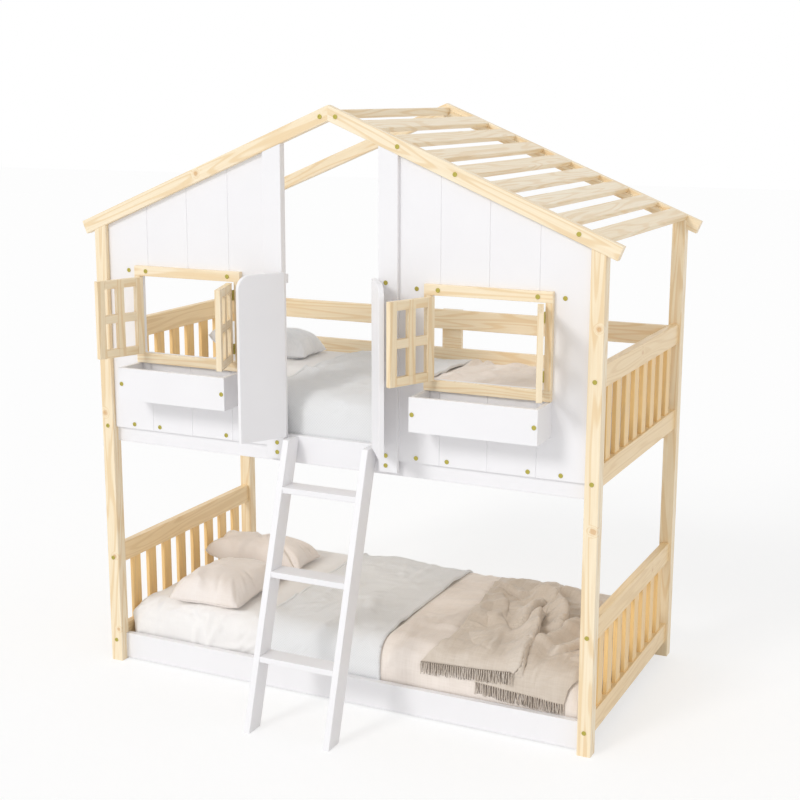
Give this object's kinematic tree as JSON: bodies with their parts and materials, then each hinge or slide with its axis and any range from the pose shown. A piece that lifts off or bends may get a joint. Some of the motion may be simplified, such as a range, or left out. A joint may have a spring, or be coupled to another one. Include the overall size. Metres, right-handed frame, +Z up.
{
  "type": "house bunk bed",
  "caption": "Bunk bed shaped like a house, with a plank front, opening doors and window leaves, flower boxes, a slatted roof slope, a leaning ladder and made-up mattresses.",
  "frame": {"origin": "on the floor, half way along the bed and half way from the ladder's feet to the bolt heads at the back", "axes": "+X along the bed to the right seen from the ladder side, +Y from the ladder side to the back, +Z up"},
  "size_m": [2.11, 1.3962, 2.1875],
  "materials": {
    "natural_pine": "clear-lacquered pine",
    "white_paint": "satin white paint on pine and board",
    "brass": "satin brass plate",
    "mattress_cloth": "white cotton",
    "waffle_quilt": "white waffle cotton",
    "taupe_linen": "taupe linen",
    "cushion_linen": "beige linen",
    "grey_linen": "pale grey linen"
  },
  "bodies": {
    "bed": {"back_guard_rails": "natural_pine", "bed_slat_ledgers": "natural_pine", "bolt_heads": "brass", "door_jambs": "white_paint", "flower_box_left": "white_paint", "flower_box_right": "white_paint", "hinge_fixed_halves": "brass", "ladder_steps": "white_paint", "ladder_stringers": "white_paint", "lower_back_cushion": "cushion_linen", "lower_back_rail": "natural_pine", "lower_bed_slats": "natural_pine", "lower_cover": "taupe_linen", "lower_front_cushion": "cushion_linen", "lower_front_rail": "white_paint", "lower_left_panel_rails": "natural_pine", "lower_left_panel_slats": "natural_pine", "lower_mattress": "mattress_cloth", "lower_quilt": "waffle_quilt", "lower_right_panel_rails": "natural_pine", "lower_right_panel_slats": "natural_pine", "post_back_left": "natural_pine", "post_back_right": "natural_pine", "post_front_left": "natural_pine", "post_front_right": "natural_pine", "rafter_back_left": "natural_pine", "rafter_back_right": "natural_pine", "rafter_front_left": "natural_pine", "rafter_front_right": "natural_pine", "ridge_batten": "natural_pine", "roof_slat_ledgers": "natural_pine", "roof_slats": "natural_pine", "upper_back_rail": "natural_pine", "upper_bed_slats": "natural_pine", "upper_cover": "taupe_linen", "upper_cushion": "grey_linen", "upper_front_rail": "white_paint", "upper_left_panel_rails": "natural_pine", "upper_left_panel_slats": "natural_pine", "upper_mattress": "mattress_cloth", "upper_quilt": "waffle_quilt", "upper_right_panel_rails": "natural_pine", "upper_right_panel_slats": "natural_pine", "wall_cleats": "white_paint", "wall_planks_left": "white_paint", "wall_planks_right": "white_paint", "window_frame_left": "natural_pine", "window_frame_right": "natural_pine"},
    "left_window_left_leaf": {"left_window_left_leaf": "natural_pine", "left_window_left_leaf_hinge_halves": "brass"},
    "left_window_right_leaf": {"left_window_right_leaf": "natural_pine", "left_window_right_leaf_hinge_halves": "brass"},
    "right_window_left_leaf": {"right_window_left_leaf": "natural_pine", "right_window_left_leaf_hinge_halves": "brass"},
    "right_window_right_leaf": {"right_window_right_leaf": "natural_pine", "right_window_right_leaf_hinge_halves": "brass"},
    "left_door": {"left_door": "white_paint", "left_door_hinge_halves": "brass"},
    "right_door": {"right_door": "white_paint", "right_door_hinge_halves": "brass"}
  },
  "joints": [
    {"name": "left_window_left_leaf_hinge", "type": "hinge", "parent": "bed", "child": "left_window_left_leaf", "pos_m": [-0.7985, -0.3521, 1.41225], "axis": [0, 0, -1], "range_deg": [-110, 5]},
    {"name": "left_window_right_leaf_hinge", "type": "hinge", "parent": "bed", "child": "left_window_right_leaf", "pos_m": [-0.3915, -0.3521, 1.41225], "axis": [0, 0, 1], "range_deg": [-110, 5]},
    {"name": "right_window_left_leaf_hinge", "type": "hinge", "parent": "bed", "child": "right_window_left_leaf", "pos_m": [0.3915, -0.3521, 1.41225], "axis": [0, 0, -1], "range_deg": [-113.5, 5]},
    {"name": "right_window_right_leaf_hinge", "type": "hinge", "parent": "bed", "child": "right_window_right_leaf", "pos_m": [0.7985, -0.3521, 1.41225], "axis": [0, 0, 1], "range_deg": [-110, 5]},
    {"name": "left_door_hinge", "type": "hinge", "parent": "bed", "child": "left_door", "pos_m": [-0.1895, -0.3491, 1.307], "axis": [0, 0, -1], "range_deg": [-119, 5]},
    {"name": "right_door_hinge", "type": "hinge", "parent": "bed", "child": "right_door", "pos_m": [0.1895, -0.3491, 1.307], "axis": [0, 0, 1], "range_deg": [-124, 5]}
  ]
}
